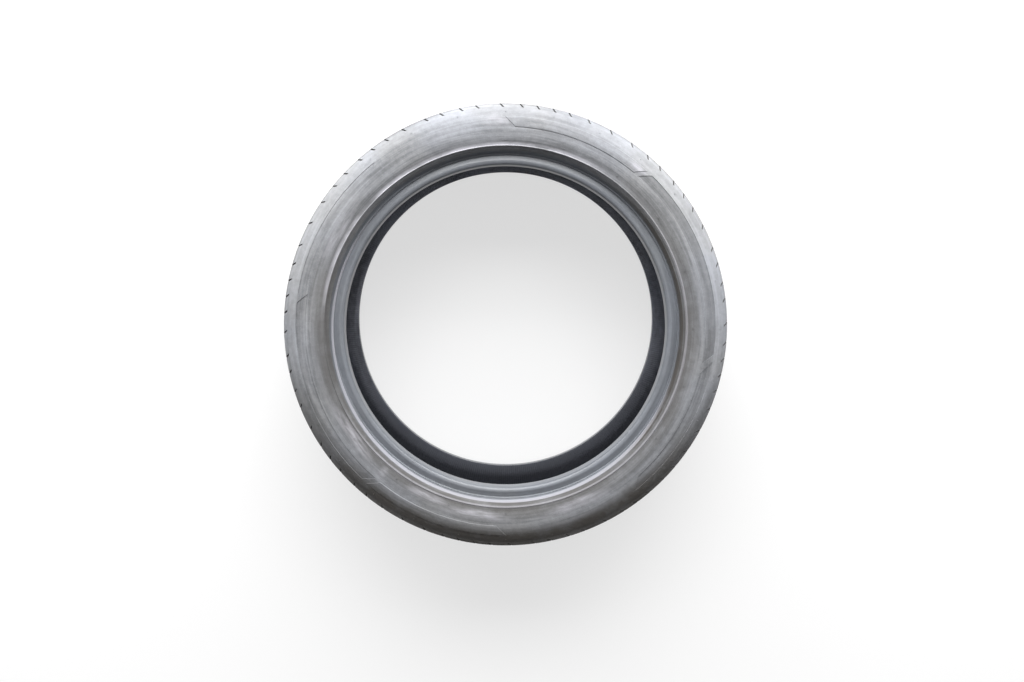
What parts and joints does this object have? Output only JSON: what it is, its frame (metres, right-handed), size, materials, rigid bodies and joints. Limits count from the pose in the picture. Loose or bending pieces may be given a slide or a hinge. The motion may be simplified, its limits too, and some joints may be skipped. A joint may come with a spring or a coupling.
{
  "type": "car tyre",
  "caption": "Low-profile car tyre off its rim: a moulded rubber ring with a ribbed, slotted tread, bulging sidewalls and beads that seat on a wheel rim.",
  "frame": {"origin": "on the spin axis, midway between the beads", "axes": "+Z along the spin axis, out of the sidewall that the picture shows; +Y is the upper side of the picture"},
  "size_m": [0.6349, 0.635, 0.23],
  "materials": {
    "tyre": "dusty matte rubber"
  },
  "bodies": {
    "root": {"tyre": "tyre"}
  },
  "joints": []
}
